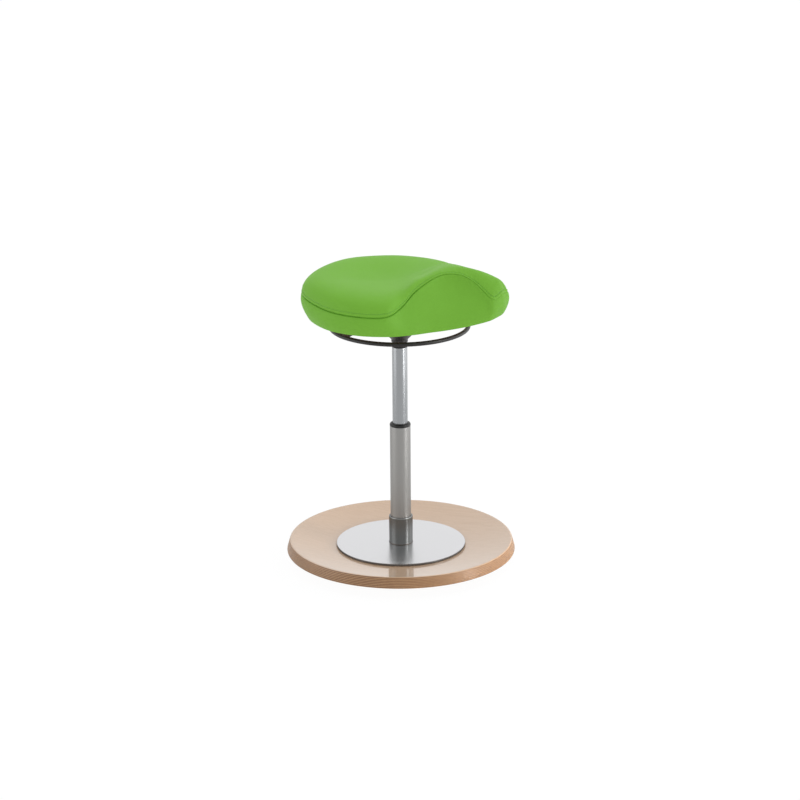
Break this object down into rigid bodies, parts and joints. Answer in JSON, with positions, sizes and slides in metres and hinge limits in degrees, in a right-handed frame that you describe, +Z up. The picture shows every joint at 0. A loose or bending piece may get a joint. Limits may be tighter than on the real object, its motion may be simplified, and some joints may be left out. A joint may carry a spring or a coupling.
{
  "type": "wobble stool",
  "caption": "Height-adjustable wobble stool with an upholstered saddle seat, a gas spring column, a ring lever and a dished plywood disc that rocks.",
  "frame": {"origin": "on the floor, on the column's axis", "axes": "+Z up, the seat's nose points to -Y"},
  "size_m": [0.4234, 0.4234, 0.57],
  "materials": {
    "beech_plywood": "clear gloss lacquer over beech veneer, layers visible on the edge",
    "seat_plywood": "plain",
    "satin_steel": "satin",
    "brushed_steel": "brushed lengthwise",
    "dark_steel": "turned, darkened",
    "silver_paint": "silver, semi-gloss",
    "zinc_steel": "zinc plated",
    "black_plastic": "satin",
    "black_paint": "powder coat",
    "black_rubber": "matt",
    "green_leatherette": "fine grain, soft sheen, sewn with a topstitch",
    "foam": "open-cell foam"
  },
  "bodies": {
    "base": {"rocker_disc": "beech_plywood", "floor_pad": "black_rubber", "base_plate": "satin_steel", "column_collar": "dark_steel", "standpipe": "brushed_steel", "standpipe_floor": "zinc_steel", "guide_bush": "black_plastic", "bearing_washer_low": "zinc_steel", "base_screw_1": "zinc_steel", "base_screw_2": "zinc_steel", "base_screw_3": "zinc_steel", "base_screw_4": "zinc_steel", "base_washer_1": "zinc_steel", "base_washer_2": "zinc_steel", "base_washer_3": "zinc_steel", "base_washer_4": "zinc_steel"},
    "bearing_cage": {"ball_cage": "zinc_steel"},
    "rod": {"piston_rod": "satin_steel", "piston": "zinc_steel", "rod_clip": "zinc_steel", "bearing_washer_high": "zinc_steel", "bump_stop": "black_rubber"},
    "seat": {"gas_spring_tube": "silver_paint", "rod_gland": "black_plastic", "valve_body": "zinc_steel", "cone_sleeve": "black_plastic", "seat_socket": "black_paint", "mount_plate": "black_paint", "seat_pan": "seat_plywood", "seat_foam": "foam", "cover_top": "green_leatherette", "cover_band": "green_leatherette", "seat_screw_1": "zinc_steel", "seat_screw_2": "zinc_steel", "seat_screw_3": "zinc_steel", "seat_screw_4": "zinc_steel", "tee_nut_1": "zinc_steel", "tee_nut_2": "zinc_steel", "tee_nut_3": "zinc_steel", "tee_nut_4": "zinc_steel"},
    "lever": {"lever_ring": "black_paint", "lever_spider": "black_plastic"},
    "valve_pin": {"valve_pin": "satin_steel"}
  },
  "joints": [
    {"name": "cage_spin", "type": "hinge", "parent": "base", "child": "bearing_cage", "pos_m": [0, 0, 0.04], "axis": [0, 0, 1], "continuous": true},
    {"name": "swivel", "type": "hinge", "parent": "base", "child": "rod", "pos_m": [0, 0, 0.04], "axis": [0, 0, 1], "continuous": true},
    {"name": "lift", "type": "slide", "parent": "rod", "child": "seat", "axis": [0, 0, 1], "range_m": [-0.13, 0]},
    {"name": "ring_tilt", "type": "hinge", "parent": "seat", "child": "lever", "pos_m": [-0.038, 0, 0.4717], "axis": [0, 1, 0], "range_deg": [0, 4.6], "stiffness_Nm_per_rad": 10, "springref_deg": -2.86},
    {"name": "valve_press", "type": "slide", "parent": "seat", "child": "valve_pin", "axis": [0, 0, 1], "range_m": [-0.0032, 0]}
  ],
  "couplings": [
    {"joint": "cage_spin", "follows": "swivel", "ratio": 0.5},
    {"joint": "valve_press", "follows": "ring_tilt", "m_per_rad": -0.038}
  ]
}
